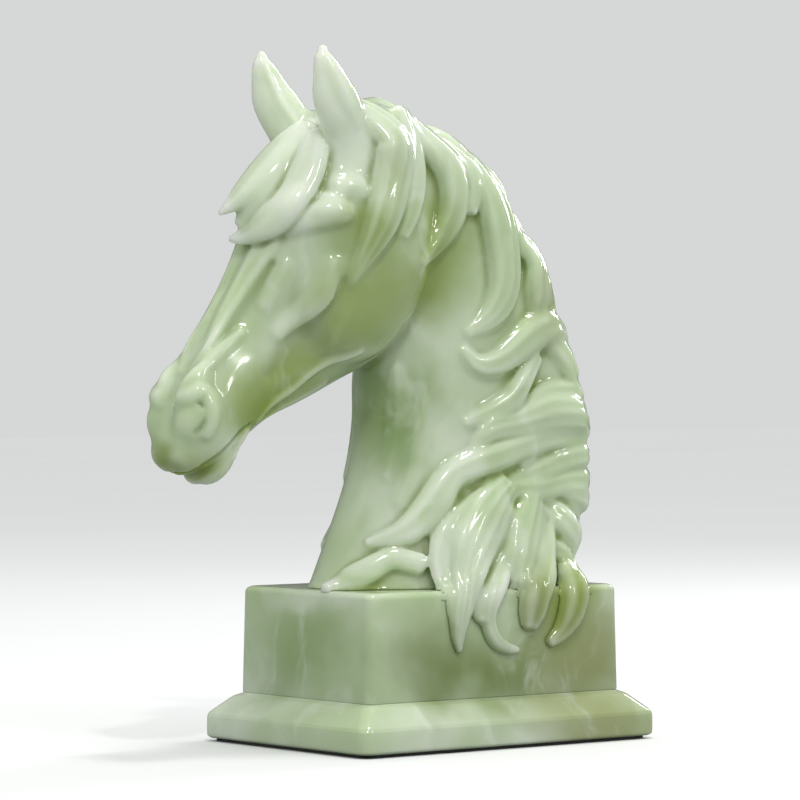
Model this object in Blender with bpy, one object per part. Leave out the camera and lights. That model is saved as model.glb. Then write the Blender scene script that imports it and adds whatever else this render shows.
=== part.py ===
"""Horse-head bust carved in pale green jade, on a rectangular plinth with a stepped foot.

Frame: metres, +Z up. The origin is the centre of the underside of the felt pad.
The horse faces -X and its left side is -Y. Tables of shape are in millimetres.
"""
import math

import bmesh
import bpy
from mathutils import Matrix, Vector
from mathutils.bvhtree import BVHTree

MM = 0.001

# Driving dimensions, mm.
PLINTH_LENGTH = 120.8
PLINTH_WIDTH = 79.6
PLINTH_TOP = 58.5
PLINTH_CORNER = 3.5
PLINTH_EDGE = 2.4
DRAFT = 0.7
FOOT_TOP = 18.5
FOOT_REACH = 9.9
FOOT_CORNER = 4.7
FELT_TOP = 1.0
FELT_INSET = 2.5
GAP = 0.3

# The bust is pinned to the plinth, and the plinth to the foot, with steel dowels.
DOWEL_RADIUS = 3.0
DOWEL_LENGTH = 22.0
HOLE_RADIUS = DOWEL_RADIUS + GAP
HOLE_LENGTH = DOWEL_LENGTH + 2 * GAP
BUST_DOWEL_X = {"front": -24.0, "rear": 30.0}
FOOT_DOWEL_X = {"front": -34.0, "rear": 34.0}

# How the strands of the bust are fused and lightened.
BUST_VOXEL = 1.9
BUST_SMOOTHING = 4
BUST_TRIANGLE_SHARE = 0.1

# The foot's moulding, from the bottom up: inset from its outermost line, height.
FOOT_PROFILE = [
    (1.1, FELT_TOP + GAP),
    (0.3, 1.9),
    (0, 3.0),
    (0, 8.6),
    (0.3, 9.9),
    (1.2, 11.0),
    (6.7, 16.0),
    (8.1, 16.9),
    (9.2, 17.4),
    (FOOT_REACH, FOOT_TOP),
]

SIDE = Vector((0, 1, 0))

# The head's own axis runs from the poll down to the lips.
POLL = Vector((-30.0, 0.0, 226.0))
HEAD_PITCH = math.radians(37.4)
HEAD_AXIS = Vector((-math.sin(HEAD_PITCH), 0, -math.cos(HEAD_PITCH)))
HEAD_UP = Vector((-math.cos(HEAD_PITCH), 0, math.sin(HEAD_PITCH)))

# along the head, then forehead height, and half width and height of the
# nasal ridge, of the widest line and of the jaw, then height of the throat line
HEAD_SECTIONS = [
    (-14, 7, 6, 4, 10, -4, 7, -12, -15),
    (0, 19, 11, 16, 18, 3, 15, -20, -30),
    (18, 22, 14, 19, 23, 4, 21, -31, -46),
    (34, 21.5, 15, 19, 26, 6, 25, -35, -52),
    (50, 20, 13, 18.5, 26, 4, 25.5, -36, -53),
    (66, 19, 9, 18, 23, -3, 22, -36, -50),
    (82, 17, 7, 16, 18, -7, 15.5, -31.5, -42),
    (98, 15.5, 6.5, 14.5, 15, -6, 12, -24.5, -33.5),
    (112, 15.5, 8.5, 14, 14, -2, 11, -18.5, -25),
    (124, 14.5, 10, 12.5, 15.5, 0, 11.5, -16, -21.5),
    (136, 13, 10.5, 10, 16.5, 0, 12, -14.5, -20),
    (146, 9, 10, 7, 13.5, -1, 10, -11, -16),
    (151, 5, 6.5, 3.5, 9, -2, 6.5, -7, -10),
]

# spine x, spine z, lean of the section in degrees, half depth, half width
NECK_SECTIONS = [
    (1, 54, 0, 56, 31),
    (8.5, 90, -5, 46.5, 28),
    (10, 115, -5, 42, 26),
    (9, 135, 0, 41, 25),
    (6, 158, 15, 37, 24),
    (-1, 182, 32, 32, 22),
    (-12, 203, 48, 27, 20),
    (-26, 216, 62, 21, 17),
]

# crest of the neck under the mane: x, z, half width, half depth
CREST_SECTIONS = [
    (-30, 227, 11, 8),
    (-8, 216, 13, 10),
    (11, 203, 15, 13),
    (24, 184, 16, 12),
    (34, 163, 18, 12.5),
    (43, 140, 22, 14),
    (48, 115, 25, 15),
    (47, 88, 28, 14),
    (40, 72, 30, 14),
    (40, 54, 31, 14),
]

# leaf-shaped ears, for the left one: x, y, z, half width, half thickness
EAR_SECTIONS = [
    (-49, -14, 222, 10, 7),
    (-54.5, -17, 232, 10.8, 6.5),
    (-59.5, -18.5, 240, 10, 5.5),
    (-62.7, -19.3, 247, 7.7, 4.4),
    (-65, -19.7, 253, 4.6, 3),
    (-66, -19.5, 257.6, 1.4, 1.4),
]

# forelock: x, y, z, half width
FORELOCKS = [
    [(-56, 2, 225, 6), (-65, 4, 219, 8), (-72, 5, 211, 9), (-81, 6, 203, 8), (-93, 6, 197, 2)],
    [(-58, -2, 223, 6), (-67, -3, 214, 8), (-74, -3, 205, 9), (-83, 1, 195, 8), (-91, 4, 187, 2)],
]

# lumps of the face, for the left side: along the head, up, side, and their three radii
FACE_LUMPS = {
    "nostril": (128, 7, -11, 9, 7.5, 7),
    "brow": (45, 14, -22, 12, 7, 6),
    "eye": (50, 12, -23, 9, 5, 5.5),
    "jowl": (62, -20, -19, 21, 21, 10),
    "chin": (139, -14.5, -3, 10, 6.5, 8.5),
}


# Locks of the mane on the left side, from root to tip: x, y, z, half width.
# Each point is laid on the body's nearest surface.
LOCKS = [
    [(-40, -10, 235, 6), (-35, -21, 225, 6), (-36, -25, 208, 5), (-47, -27, 188, 4), (-57, -26, 171, 1)],
    [(-30, -12, 233, 5), (-24, -19, 223, 4), (-25, -22, 208, 4), (-33, -24, 192, 1.5)],
    [(-27, -9, 233, 5), (-16, -17, 225, 5), (-7, -20, 215, 6), (-6, -22, 200, 5), (-15, -21, 186, 4),
     (-26, -21, 179, 1)],
    [(-15, -13, 229, 4), (-1, -16, 222, 4), (5, -19, 211, 4), (2, -22, 200, 3)],
    [(8, -13, 218, 5), (16, -17, 204, 6), (20, -20, 189, 7), (19, -23, 171, 6), (9, -24, 157, 4),
     (0, -23, 153, 1.5)],
    [(20, -15, 208, 4), (27, -18, 196, 3), (32, -18, 184, 2)],
    [(30, -16, 191, 4), (39, -17, 181, 6), (38, -19, 168, 6), (34, -21, 158, 3)],
    [(43, -18, 172, 3), (45, -18, 164, 3), (43, -19, 157, 3)],
    [(52, -17, 154, 5), (41, -20, 155, 6), (28, -23, 151, 6), (14, -25, 144, 5), (3, -25, 141, 4),
     (-3, -24, 147, 1)],
    [(46, -18, 154, 4), (52, -19, 146, 4), (56, -20, 139, 2)],
    [(42, -20, 150, 4), (50, -19, 142, 4), (57, -20, 131, 3)],
    [(57, -20, 128, 3), (47, -20, 130, 3), (34, -23, 130, 3), (23, -26, 124, 1.5)],
    [(33, -23, 144, 3), (25, -25, 137, 4), (18, -26, 128, 4), (4, -26, 123, 3), (-3, -25, 120, 1.5)],
    [(60, -20, 116, 4), (51, -21, 121, 6), (37, -24, 123, 7), (20, -26, 119, 5), (6, -27, 116, 4),
     (0, -26, 110, 1.5)],
    [(53, -21, 114, 3), (32, -25, 113, 4), (10, -27, 107, 5), (-10, -25, 101, 5), (-18, -25, 90, 6),
     (-30, -22, 78, 4), (-41, -14, 76, 1.5)],
    [(59, -21, 107, 4), (49, -22, 106, 4), (34, -26, 102, 4), (17, -27, 98, 1.5)],
    [(58, -21, 98, 4), (44, -24, 96, 4), (25, -28, 94, 4), (5, -28, 96, 2)],
    [(44, -24, 94, 3), (53, -22, 91, 4), (58, -22, 88, 3)],
    [(9, -28, 94, 5), (-2, -29, 86, 6), (-11, -28, 78, 6), (-19, -29, 66, 5), (-23, -30, 60, 2)],
    [(13, -28, 93, 5), (3, -31, 82, 7), (-4, -35, 71, 8), (-14, -40, 58, 6), (-19, -41, 47, 3),
     (-17, -41, 36, 1)],
    [(25, -27, 85, 4), (15, -30, 77, 4), (7, -35, 67, 4), (-1, -40, 54, 4), (-2, -41, 43, 3),
     (3, -41, 36, 2.5), (11, -41, 35, 1)],
    [(33, -27, 82, 4), (30, -32, 72, 5), (25, -38, 62, 6), (19, -41, 53, 6), (19, -41, 45, 5)],
    [(34, -26, 88, 5), (43, -24, 82, 5), (46, -24, 76, 5), (45, -24, 68, 4)],
    [(42, -26, 71, 4), (41, -32, 64, 6), (40, -39, 56, 7), (35, -41, 46, 5), (28, -41, 38, 1.5)],
]
# the lock across the chest, on the left side only
CHEST_LOCK = [(-26, -25, 68, 4), (-35, -20, 70, 4), (-43, -16, 65, 5), (-50, -12, 61, 5), (-58, -11, 60, 2)]


def clear_scene():
    for obj in list(bpy.data.objects):
        bpy.data.objects.remove(obj, do_unlink=True)


def principled(name, colour, roughness, metallic=0.0):
    material = bpy.data.materials.new(name)
    material.use_nodes = True
    shader = material.node_tree.nodes["Principled BSDF"]
    shader.inputs["Base Color"].default_value = (*colour, 1)
    shader.inputs["Roughness"].default_value = roughness
    shader.inputs["Metallic"].default_value = metallic
    return material


def add_object(name, bm, material=None):
    """Object made of a bmesh in millimetres, smooth shaded below 35 degrees."""
    bm.transform(Matrix.Scale(MM, 4))
    mesh = bpy.data.meshes.new(name)
    bm.to_mesh(mesh)
    bm.free()
    mesh.shade_smooth()
    mesh.set_sharp_from_angle(angle=math.radians(35))
    if material:
        mesh.materials.append(material)
    obj = bpy.data.objects.new(name, mesh)
    bpy.context.scene.collection.objects.link(obj)
    return obj


def cutter(name, bm):
    obj = add_object(name, bm)
    obj.hide_render = True
    obj.display_type = "WIRE"
    return obj


def cut(target, tool):
    boolean = target.modifiers.new(tool.name, "BOOLEAN")
    boolean.operation = "DIFFERENCE"
    boolean.solver = "EXACT"
    boolean.object = tool


def spline(stations, steps):
    """Catmull-Rom curve through tuples of numbers, with steps points to each span."""
    rows = [Vector(s) for s in stations]
    rows = [2 * rows[0] - rows[1]] + rows + [2 * rows[-1] - rows[-2]]
    curve = []
    for i in range(1, len(rows) - 2):
        a, b, c, d = rows[i - 1 : i + 3]
        for k in range(steps):
            t = k / steps
            bend = (2 * a - 5 * b + 4 * c - d) * t**2 + (3 * b - a - 3 * c + d) * t**3
            curve.append(0.5 * (2 * b + (c - a) * t + bend))
    curve.append(rows[-2])
    return curve


def skin(bm, rings):
    """Adds a closed tube through rings of points, with a flat face at each end."""
    loops = [[bm.verts.new(p) for p in ring] for ring in rings]
    count = len(loops[0])
    for low, high in zip(loops, loops[1:]):
        for i in range(count):
            j = (i + 1) % count
            bm.faces.new((low[i], low[j], high[j], high[i]))
    bm.faces.new(reversed(loops[0]))
    bm.faces.new(loops[-1])
    bmesh.ops.recalc_face_normals(bm, faces=bm.faces)


def ellipse(centre, wide, deep, half_width, half_depth, count):
    angles = [2 * math.pi * k / count for k in range(count)]
    return [
        centre + wide * half_width * math.sin(a) + deep * half_depth * math.cos(a)
        for a in angles
    ]


def rounded_rectangle(half_x, half_y, radius, z):
    ring = []
    for quarter, (sx, sy) in enumerate(((1, 1), (-1, 1), (-1, -1), (1, -1))):
        centre = Vector((sx * (half_x - radius), sy * (half_y - radius), z))
        for k in range(6):
            a = math.pi / 2 * (quarter + k / 5)
            ring.append(centre + Vector((radius * math.cos(a), radius * math.sin(a), 0)))
    return ring


def head_point(along, up, side):
    return POLL + HEAD_AXIS * along + HEAD_UP * up + SIDE * side


def add_head(bm):
    rings = []
    for along, top, ridge_y, ridge_z, wide_y, wide_z, jaw_y, jaw_z, bottom in spline(HEAD_SECTIONS, 3):
        half = [(0, top), (ridge_y, ridge_z), (wide_y, wide_z), (jaw_y, jaw_z), (0, bottom)]
        outline = half + [(-y, z) for y, z in reversed(half[1:-1])]
        closed = spline(outline[-1:] + outline + outline[:2], 4)[4:-4]
        rings.append([head_point(along, z, y) for y, z in closed[:-1]])
    skin(bm, rings)


def add_face_lump(bm, along, up, side, long, high, wide):
    """An ellipsoid, made of rings across the head's axis."""
    rings = []
    for k in range(1, 12):
        a = math.pi * k / 12
        centre = head_point(along - long * math.cos(a), up, side)
        rings.append(ellipse(centre, SIDE, HEAD_UP, wide * math.sin(a), high * math.sin(a), 20))
    skin(bm, rings)


def add_neck(bm):
    rings = []
    for x, z, lean, depth, half in spline(NECK_SECTIONS, 3):
        lean = math.radians(lean)
        back = Vector((math.cos(lean), 0, math.sin(lean)))
        rings.append(ellipse(Vector((x, 0, z)), SIDE, back, half, depth, 28))
    skin(bm, rings)


def add_crest(bm):
    path = spline(CREST_SECTIONS, 3)
    rings = []
    for i, (x, z, half, depth) in enumerate(path):
        ahead = path[min(i + 1, len(path) - 1)] - path[max(i - 1, 0)]
        out = Vector((-ahead[1], 0, ahead[0])).normalized()
        rings.append(ellipse(Vector((x, 0, z)), SIDE, out, half, depth, 20))
    skin(bm, rings)


def add_ear(bm, side):
    """An ear of the left side, or with side -1 its mirror image."""
    rings = []
    for x, y, z, half, thick in spline(EAR_SECTIONS, 3):
        rings.append(ellipse(Vector((x, y * side, z)), Vector((1, 0, 0)), SIDE, half, thick, 16))
    skin(bm, rings)


def add_lock(bm, points, surface, side=1):
    """Tapered strand lying on the surface and flattened towards it, mirrored with side -1."""
    path = spline(points, 3)
    centres = []
    for x, y, z, half in path:
        spot = Vector((x, y * side, z))
        foot, normal, _, _ = surface.find_nearest(spot)
        lift = max((spot - foot).dot(normal), half * 0.35)
        centres.append((foot + normal * lift, normal))
    rings = []
    for i, (centre, normal) in enumerate(centres):
        ahead = centres[min(i + 1, len(centres) - 1)][0] - centres[max(i - 1, 0)][0]
        wide = ahead.cross(normal).normalized()
        half = path[i][3]
        rings.append(ellipse(centre, wide, normal, half, half * 0.8, 10))
    skin(bm, rings)


def add_plinth(bm, grow=0.0):
    """The plinth block's shape, grown outwards to serve as the bust's clearance."""
    outline = [(grow, FOOT_TOP + GAP - grow)]
    for k in range(5):
        a = math.pi / 2 * k / 4
        inset = DRAFT + PLINTH_EDGE * (1 - math.cos(a))
        outline.append((grow - inset, PLINTH_TOP + grow - PLINTH_EDGE * (1 - math.sin(a))))
    skin(
        bm,
        [
            rounded_rectangle(PLINTH_LENGTH / 2 + reach, PLINTH_WIDTH / 2 + reach, PLINTH_CORNER + grow, z)
            for reach, z in outline
        ],
    )


def body_surface(body):
    """Search tree of the bare body and the plinth, on which the locks lie."""
    solid = body.copy()
    add_plinth(solid)
    bmesh.ops.triangulate(solid, faces=solid.faces, quad_method="FIXED")
    tree = BVHTree.FromBMesh(solid)
    solid.free()
    return tree


def horse_bust(material):
    bm = bmesh.new()
    add_head(bm)
    for along, up, side, *radii in FACE_LUMPS.values():
        add_face_lump(bm, along, up, side, *radii)
        add_face_lump(bm, along, up, -side, *radii)
    add_neck(bm)
    add_crest(bm)
    surface = body_surface(bm)
    for side in (1, -1):
        add_ear(bm, side)
        for lock in LOCKS:
            add_lock(bm, lock, surface, side)
    for lock in [*FORELOCKS, CHEST_LOCK]:
        add_lock(bm, lock, surface)
    bust = add_object("horse_bust", bm, material)

    fuse = bust.modifiers.new("fuse", "REMESH")
    fuse.mode = "VOXEL"
    fuse.voxel_size = BUST_VOXEL * MM
    fuse.use_smooth_shade = True
    soften = bust.modifiers.new("soften", "SMOOTH")
    soften.iterations = BUST_SMOOTHING
    lighten = bust.modifiers.new("lighten", "DECIMATE")
    lighten.ratio = BUST_TRIANGLE_SHARE

    clearance = bmesh.new()
    add_plinth(clearance, GAP)
    cut(bust, cutter("plinth_clearance", clearance))
    return bust


def plinth_block(material):
    bm = bmesh.new()
    add_plinth(bm)
    return add_object("plinth_block", bm, material)


def base_moulding(material):
    bm = bmesh.new()
    rings = []
    for inset, z in FOOT_PROFILE:
        reach = FOOT_REACH - inset
        rings.append(rounded_rectangle(PLINTH_LENGTH / 2 + reach, PLINTH_WIDTH / 2 + reach, FOOT_CORNER, z))
    skin(bm, rings)
    return add_object("base_moulding", bm, material)


def felt_pad(material):
    bm = bmesh.new()
    reach = FOOT_REACH - FELT_INSET
    size = (PLINTH_LENGTH / 2 + reach, PLINTH_WIDTH / 2 + reach, FOOT_CORNER)
    skin(bm, [rounded_rectangle(*size, 0), rounded_rectangle(*size, FELT_TOP)])
    return add_object("felt_pad", bm, material)


def rod(x, z, radius, length):
    bm = bmesh.new()
    place = Matrix.Translation((x, 0, z))
    bmesh.ops.create_cone(
        bm, cap_ends=True, segments=24, radius1=radius, radius2=radius, depth=length, matrix=place
    )
    return bm


def dowel(name, x, joint_z, pieces, material):
    """A rod across the joint between two pieces, and the blind holes that it sits in."""
    add_object(name, rod(x, joint_z, DOWEL_RADIUS, DOWEL_LENGTH), material)
    hole = cutter(name + "_hole", rod(x, joint_z, HOLE_RADIUS, HOLE_LENGTH))
    for piece in pieces:
        cut(piece, hole)


def main():
    clear_scene()
    jade = principled("jade", (0.62, 0.74, 0.50), roughness=0.12)
    felt = principled("felt", (0.010, 0.011, 0.012), roughness=0.95)
    steel = principled("steel", (0.55, 0.55, 0.56), roughness=0.35, metallic=1.0)

    bust = horse_bust(jade)
    plinth = plinth_block(jade)
    foot = base_moulding(jade)
    felt_pad(felt)
    for place, x in BUST_DOWEL_X.items():
        dowel("bust_dowel_" + place, x, PLINTH_TOP + GAP / 2, (bust, plinth), steel)
    for place, x in FOOT_DOWEL_X.items():
        dowel("foot_dowel_" + place, x, FOOT_TOP + GAP / 2, (plinth, foot), steel)


if __name__ == "__main__":
    main()
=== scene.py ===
"""Looks of the jade horse-head bust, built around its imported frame.

The bust is sculpted as signed distances on a grid: lofted solids make the head, neck and
crest, then ears, locks and features of the face are added to them or cut out of them with
soft joins, and the surface of that field becomes the mesh. Sizes are in millimetres until
a mesh is made. The horse faces -X and its left side is -Y.
"""
import math

import bpy
import numpy as np
import openvdb
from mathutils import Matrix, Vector


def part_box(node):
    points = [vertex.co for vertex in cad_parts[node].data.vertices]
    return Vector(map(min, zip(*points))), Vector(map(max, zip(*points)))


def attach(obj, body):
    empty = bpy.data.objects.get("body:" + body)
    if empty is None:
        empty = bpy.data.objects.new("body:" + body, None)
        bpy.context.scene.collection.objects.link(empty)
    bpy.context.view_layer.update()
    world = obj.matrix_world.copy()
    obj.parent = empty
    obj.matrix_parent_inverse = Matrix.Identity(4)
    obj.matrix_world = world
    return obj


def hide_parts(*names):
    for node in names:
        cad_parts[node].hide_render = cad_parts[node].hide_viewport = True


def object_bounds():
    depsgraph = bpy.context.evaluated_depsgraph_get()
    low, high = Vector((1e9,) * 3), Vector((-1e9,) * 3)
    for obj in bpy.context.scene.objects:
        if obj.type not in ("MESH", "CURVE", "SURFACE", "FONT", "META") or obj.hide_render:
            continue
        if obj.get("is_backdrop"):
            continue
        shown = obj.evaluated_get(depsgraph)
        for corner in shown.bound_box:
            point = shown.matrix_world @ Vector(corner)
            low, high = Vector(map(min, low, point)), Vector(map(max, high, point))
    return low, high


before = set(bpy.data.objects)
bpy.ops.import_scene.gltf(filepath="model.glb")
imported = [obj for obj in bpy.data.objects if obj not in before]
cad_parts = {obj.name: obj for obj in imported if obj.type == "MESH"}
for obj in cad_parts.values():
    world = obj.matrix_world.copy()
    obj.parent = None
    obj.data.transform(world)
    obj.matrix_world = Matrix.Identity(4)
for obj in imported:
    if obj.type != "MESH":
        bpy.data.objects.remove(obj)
for startup in ("Cube", "Light", "Camera"):
    if startup in bpy.data.objects:
        bpy.data.objects.remove(bpy.data.objects[startup], do_unlink=True)
cad_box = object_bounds()

MM = 0.001
STEP = 0.8  # grid spacing
BAND = 13.0  # distances are known this far from a lofted solid
SEAM = 0.03  # air between the bust and the plinth
PRESS = 1.8  # the bust's edges are drawn onto the plinth from this far off
RUN_OUT = 5.0  # the stone lets less light through where it runs out thin on the plinth
GAP = 0.3  # air round a dowel
DRAFT = 0.7  # inward lean of the plinth's sides at the top
PLINTH_CORNER = 3.5
PLINTH_EDGE = 2.4
FOOT_CORNER = 4.7
CREST_LOCKS = 16
RIDGE_WIDTH = 5.6  # of one fine ridge of hair along a lock
FAR_SIDE_SHIFT = 2.0  # the right side's locks lie this much further back and lower

# camera: degrees, millimetres, and lens in millimetres on a 36 mm sensor
AZIMUTH = -38.43
ELEVATION = 0.41
TARGET = (-9.0, 7.2, 128.1)
DISTANCE = 1539.2
LENS = 183.6

# inward step from the foot's outermost line, and height above its underside
FOOT_PROFILE = [
    (1.1, 0),
    (0.3, 0.6),
    (0, 1.7),
    (0, 7.3),
    (0.3, 8.8),
    (1.2, 10.2),
    (6.5, 15.3),
    (8.1, 16.3),
    (9.2, 16.8),
    (9.9, 17.2),
]

POLL = np.array((-30.0, 0.0, 226.0))
HEAD_PITCH = math.radians(37.4)
HEAD_AXIS = np.array((-math.sin(HEAD_PITCH), 0, -math.cos(HEAD_PITCH)))
HEAD_UP = np.array((-math.cos(HEAD_PITCH), 0, math.sin(HEAD_PITCH)))
SIDE = np.array((0.0, 1.0, 0.0))

# along the head, then forehead height, and half width and height of the
# nasal ridge, of the widest line and of the jaw, then height of the throat line
HEAD_SECTIONS = [
    (-14, 7, 6, 4, 10, -4, 7, -12, -15),
    (0, 19, 11, 16, 18, 3, 15, -20, -30),
    (18, 23.5, 14, 20, 23, 4, 21, -31, -46),
    (34, 25, 15, 20, 26, 6, 25, -35, -52),
    (50, 23, 13, 19, 25, 4, 25.5, -36, -53),
    (66, 19, 9, 18, 21, -3, 22, -36, -50),
    (82, 17, 7, 16, 16, -7, 15.5, -31.5, -42),
    (98, 15.5, 6.5, 14.5, 14, -6, 12, -24.5, -33.5),
    (112, 14.2, 8.5, 13, 14, -2, 11, -18.5, -25),
    (124, 12.7, 9, 11, 15, 0, 11.5, -15, -20),
    (136, 10.3, 9, 8.5, 14.5, 0, 12, -12, -15),
    (145, 7.5, 8, 5.5, 11.2, -1, 10, -9, -11.5),
    (150.5, 3.5, 6.5, 2.5, 8.5, -2, 6.5, -6, -8),
    (152.5, -1, 2.5, -1, 3, -2, 2.5, -3, -4),
]

# spine x, spine z, lean of the section in degrees, half depth, half width
NECK_SECTIONS = [
    (-1.5, 50, 0, 55.5, 31),
    (8.5, 90, -5, 46.5, 28),
    (10, 115, -5, 42, 26),
    (9, 135, 0, 41, 25),
    (6, 158, 15, 37, 24),
    (-1, 182, 32, 32, 22),
    (-12, 203, 48, 27, 20),
    (-26, 216, 62, 21, 17),
]

# crest of the neck under the mane: x, z, half width, half depth
CREST_SECTIONS = [
    (-30, 225, 11, 8),
    (-8, 215, 13, 9.5),
    (11, 203, 16, 15.5),
    (24, 184, 16, 15),
    (34, 163, 18, 16.5),
    (43, 140, 22, 14.5),
    (48, 115, 25, 15),
    (47, 88, 28, 14.5),
    (39, 72, 30, 14),
    (37, 50, 31, 11),
]

# left ear: x, y, z, half width, half thickness
EAR = [
    (-50, -14, 220, 9, 6),
    (-55.3, -17, 232, 9.7, 6.2),
    (-60.2, -18.3, 240, 9, 5.5),
    (-63, -18.8, 247, 6.6, 4.2),
    (-65, -18.8, 252.5, 4.2, 3),
    (-65.5, -18.7, 256, 1.8, 1.8),
]

# forelock, from root to tip: x, y, z, half width
FORELOCKS = [
    [(-58, -8, 222, 5), (-66, -13, 214, 6.5), (-74, -15, 205, 7), (-79, -13, 197, 7.5), (-84, -7, 191, 6.5),
     (-88, -1, 188, 4), (-91, 3, 187, 1.5)],
    [(-60, -4, 224, 4), (-70, -4, 217, 6), (-79, -3, 207, 7), (-85, -1, 199, 6), (-88, 1, 193, 3)],
    [(-58, -1, 225.5, 6), (-69, 0, 220, 8), (-78, 0, 211.5, 8.5), (-86, 1, 203.5, 7), (-90.5, 3, 199.5, 4),
     (-94, 5, 196.5, 1.5)],
]

# Locks of the mane on the left side, from root to tip: x, y, z, half width.
LOCKS = [
    [(-42, -13, 226, 6), (-38, -19, 222, 9), (-39, -24, 210, 9), (-45, -27, 195, 7.5), (-52, -27, 182, 4.5),
     (-58, -26, 171, 1)],
    [(-32, -11, 229, 6), (-26, -19, 221, 6.5), (-27, -23, 208, 6.5), (-31, -26, 197, 5), (-35, -26, 189, 2.5)],
    [(-27, -9, 230, 5), (-16, -17, 223, 6.5), (-7, -20, 214, 7), (-6, -22, 200, 6.5), (-14, -21, 187, 5),
     (-26, -21, 179, 1)],
    [(-15, -13, 227, 4), (-2, -16, 220, 5), (5, -19, 210, 5), (2, -22, 199, 3)],
    [(7, -13, 216, 5.5), (13, -17, 204, 8), (17, -20, 189, 9), (17, -23, 171, 8), (9, -24, 159, 5),
     (-1, -23, 153, 1.5)],
    [(19, -14, 205, 4), (25, -18, 195, 3.5), (30, -18, 184, 2)],
    [(28, -16, 191, 4), (37, -17, 181, 6.5), (37, -19, 168, 7), (34, -21, 158, 3)],
    [(42, -18, 172, 3), (44, -18, 164, 3.5), (42, -19, 157, 3)],
    [(50, -17, 154, 5), (41, -20, 156, 7), (28, -23, 151, 7), (14, -25, 143, 5.5), (3, -25, 141, 4),
     (-3, -24, 147, 1.5)],
    [(45, -18, 154, 4), (51, -19, 146, 4.5), (55, -20, 139, 2.5)],
    [(41, -20, 150, 4), (49, -19, 142, 5), (56, -20, 131, 4)],
    [(57, -20, 128, 3.5), (47, -20, 131, 4), (34, -23, 130, 3.5), (23, -26, 124, 1.5)],
    [(33, -23, 144, 3), (26, -25, 137, 4.5), (18, -26, 128, 5), (6, -26, 123, 3.5), (-3, -25, 120, 1.5)],
    [(59, -20, 117, 5), (51, -21, 122, 7), (37, -24, 123, 8), (20, -26, 119, 5.5), (6, -27, 117, 4.5),
     (0, -26, 109, 2)],
    [(54, -21, 114, 4), (34, -25, 113, 5), (10, -27, 107, 6), (-9, -25, 101, 5.5), (-18, -25, 90, 6.5),
     (-30, -22, 79, 5), (-41, -14, 76, 1.5)],
    [(42, -21, 109, 3), (31, -24, 107.5, 4), (22, -25, 105, 3)],
    [(58, -21, 107, 4.5), (49, -22, 106, 5), (34, -26, 102, 4.5), (17, -27, 98, 2)],
    [(57, -21, 98, 4.5), (44, -24, 96, 5), (25, -28, 94, 5), (5, -28, 96, 2)],
    [(43, -24, 94, 3), (51, -22, 91, 4.5), (56, -22, 88, 3.5)],
    [(26, -27, 88, 8), (20, -30, 78, 11), (15, -34, 68, 10), (13, -38, 61, 6)],
    [(10, -28, 86, 8), (2, -30, 74, 9), (-4, -33, 63, 7), (-8, -38, 54, 4.5), (-9, -41, 48, 2.5)],
    [(-2, -29, 90, 4), (-13, -29, 79, 7.5), (-19, -31, 69, 6), (-21, -35, 60, 4), (-22, -40, 52, 2), (-21, -41, 47, 1)],
    [(13, -28, 95, 6), (3, -31, 87, 9.5), (-7, -34, 75, 10), (-13, -38, 64, 7), (-17.5, -41, 53, 4.8),
     (-19.5, -41, 43, 3), (-19, -41, 36.5, 1)],
    [(26, -28, 86, 4), (15, -31, 76, 4.5), (5, -36, 66, 4.5), (-2, -41, 57, 4), (-5, -41, 50, 3.2), (-4, -41, 43, 3),
     (1, -41, 37.5, 2.5), (9, -41, 35.5, 1)],
    [(33, -27, 84, 4.5), (29, -32, 74, 5.5), (23, -38, 64, 6), (18, -41, 56, 6.5), (16, -41, 49, 6), (15, -41, 45, 4)],
    [(33, -26, 88, 5.5), (41, -24, 82, 6), (44, -24, 76, 5.5), (43, -24, 68, 4)],
    [(34, -29, 73, 3.5), (40, -30, 68, 5), (39, -37, 60, 6.5), (36, -41, 50, 6), (31, -41, 42, 4), (25, -41, 38, 2)],
]
CHEST_LOCK = [(-26, -25, 68, 4), (-35, -20, 70, 4), (-43, -16, 65, 5), (-50, -12, 61, 5), (-58, -11, 60, 2)]

# soft ridges down the left side of the throat: x, y, z, half width
NECK_MUSCLES = [
    [(-27, -13, 140, 1), (-27, -14, 130, 3), (-28, -14, 115, 3), (-31, -13, 100, 1)],
    [(-18, -18, 128, 1), (-21, -18, 117, 3), (-24, -18, 103, 2.5), (-28, -16, 90, 1)],
]

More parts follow.
